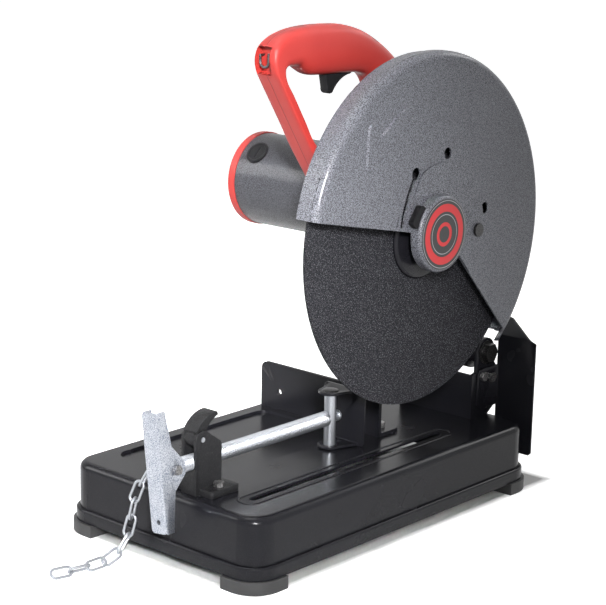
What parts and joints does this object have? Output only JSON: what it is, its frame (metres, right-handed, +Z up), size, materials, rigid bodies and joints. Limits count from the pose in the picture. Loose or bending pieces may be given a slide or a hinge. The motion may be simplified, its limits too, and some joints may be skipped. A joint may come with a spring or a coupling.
{
  "type": "abrasive chop saw",
  "caption": "Bench chop saw with a large abrasive wheel on a hinged motor head, D handle, steel base, fence and screw vise.",
  "frame": {"origin": "middle of the base rectangle on the bench plane under the rubber feet", "axes": "+Z up, +X towards the wheel side, -Y towards the operator"},
  "size_m": [0.276, 0.5838, 0.519],
  "materials": {
    "black_paint": "gloss black powder coat",
    "black_casting": "textured black paint on iron",
    "rubber": "matt",
    "dark_bolt": "blackened steel",
    "bright_steel": "zinc plated",
    "spring_steel": "oiled spring wire",
    "zinc_sheet": "zinc plated sheet",
    "grey_hammertone": "hammertone grey",
    "red_plastic": "satin moulded",
    "black_plastic": "moulded",
    "flange_black": "black",
    "abrasive": "resin bonded grit",
    "motor_iron": "laminated iron"
  },
  "bodies": {
    "base": {"base_pan": "black_paint", "foot_front_left": "rubber", "foot_front_right": "rubber", "foot_rear_left": "rubber", "foot_rear_right": "rubber", "rear_bracket": "black_paint", "bracket_bolts": "dark_bolt", "pivot_shaft": "dark_bolt", "return_spring": "spring_steel", "spark_plate": "black_paint", "spark_plate_screws": "dark_bolt", "vise_block": "black_casting", "vise_block_bolts": "dark_bolt", "half_nut_pin": "bright_steel", "chain_eye": "bright_steel", "transport_chain": "bright_steel"},
    "fence": {"fence": "black_paint", "fence_bolts": "dark_bolt"},
    "half_nut": {"half_nut": "black_casting"},
    "jaw_carrier": {"jaw_pin": "bright_steel"},
    "jaw": {"vise_jaw": "black_paint"},
    "screw": {"vise_screw": "bright_steel", "vise_handle": "zinc_sheet", "handle_bolt": "dark_bolt"},
    "head": {"swing_arm": "black_paint", "depth_stop": "dark_bolt", "gear_housing": "grey_hammertone", "motor_housing": "grey_hammertone", "motor_field": "motor_iron", "motor_cap": "red_plastic", "brush_caps": "black_plastic", "handle_left": "red_plastic", "handle_right": "red_plastic", "chain_hook": "spring_steel", "guard_rear": "grey_hammertone", "guard_front": "grey_hammertone", "guard_screws": "dark_bolt", "spindle_bearing": "bright_steel"},
    "wheel_spindle": {"spindle": "bright_steel", "spindle_gear": "bright_steel", "inner_flange": "flange_black", "outer_flange": "flange_black", "abrasive_wheel": "abrasive", "wheel_bolt": "dark_bolt"},
    "armature": {"armature": "motor_iron"},
    "trigger": {"trigger": "black_plastic"},
    "lock_button": {"lock_button": "black_plastic"},
    "spindle_lock": {"spindle_lock": "black_plastic"},
    "access_cover": {"centre_cover": "grey_hammertone", "cover_latch": "black_plastic"}
  },
  "joints": [
    {"name": "head_tilt", "type": "hinge", "parent": "base", "child": "head", "pos_m": [0.02825, 0.2058, 0.1483], "axis": [1, 0, 0], "range_deg": [-18, 21]},
    {"name": "fence_swing", "type": "hinge", "parent": "base", "child": "fence", "pos_m": [0.03, 0.08, 0.075], "axis": [0, 0, 1], "range_deg": [-45, 0]},
    {"name": "jaw_travel", "type": "slide", "parent": "base", "child": "jaw_carrier", "axis": [0, 1, 0], "range_m": [-0.105, 0.012]},
    {"name": "jaw_swivel", "type": "hinge", "parent": "jaw_carrier", "child": "jaw", "pos_m": [0.031, -0.002, 0.1075], "axis": [0, 0, 1], "range_deg": [-45, 45]},
    {"name": "screw_turn", "type": "hinge", "parent": "jaw_carrier", "child": "screw", "pos_m": [0.031, -0.13, 0.1075], "axis": [0, 1, 0], "continuous": true},
    {"name": "half_nut_flip", "type": "hinge", "parent": "base", "child": "half_nut", "pos_m": [0.031, -0.2008, 0.1307], "axis": [1, 0, 0], "range_deg": [0, 60]},
    {"name": "wheel_spin", "type": "hinge", "parent": "head", "child": "wheel_spindle", "pos_m": [0.084, 0.0695, 0.2995], "axis": [1, 0, 0], "continuous": true},
    {"name": "armature_spin", "type": "hinge", "parent": "head", "child": "armature", "pos_m": [-0.03, 0.036, 0.34], "axis": [1, 0, 0], "continuous": true},
    {"name": "trigger_pull", "type": "hinge", "parent": "head", "child": "trigger", "pos_m": [0.028, 0.019, 0.479], "axis": [1, 0, 0], "range_deg": [-8, 0], "stiffness_Nm_per_rad": 0.3, "springref_deg": 5.73},
    {"name": "lock_press", "type": "slide", "parent": "head", "child": "lock_button", "axis": [1, 0, 0], "range_m": [0, 0.003], "stiffness_N_per_m": 400, "springref_m": -0.004},
    {"name": "spindle_lock_press", "type": "slide", "parent": "head", "child": "spindle_lock", "axis": [1, 0, 0], "range_m": [0, 0.005], "stiffness_N_per_m": 500, "springref_m": -0.003},
    {"name": "cover_turn", "type": "hinge", "parent": "head", "child": "access_cover", "pos_m": [0.105, 0.1425, 0.2995], "axis": [1, 0, 0], "range_deg": [-24, 0]}
  ],
  "couplings": [
    {"joint": "armature_spin", "follows": "wheel_spin", "ratio": -5.25}
  ]
}
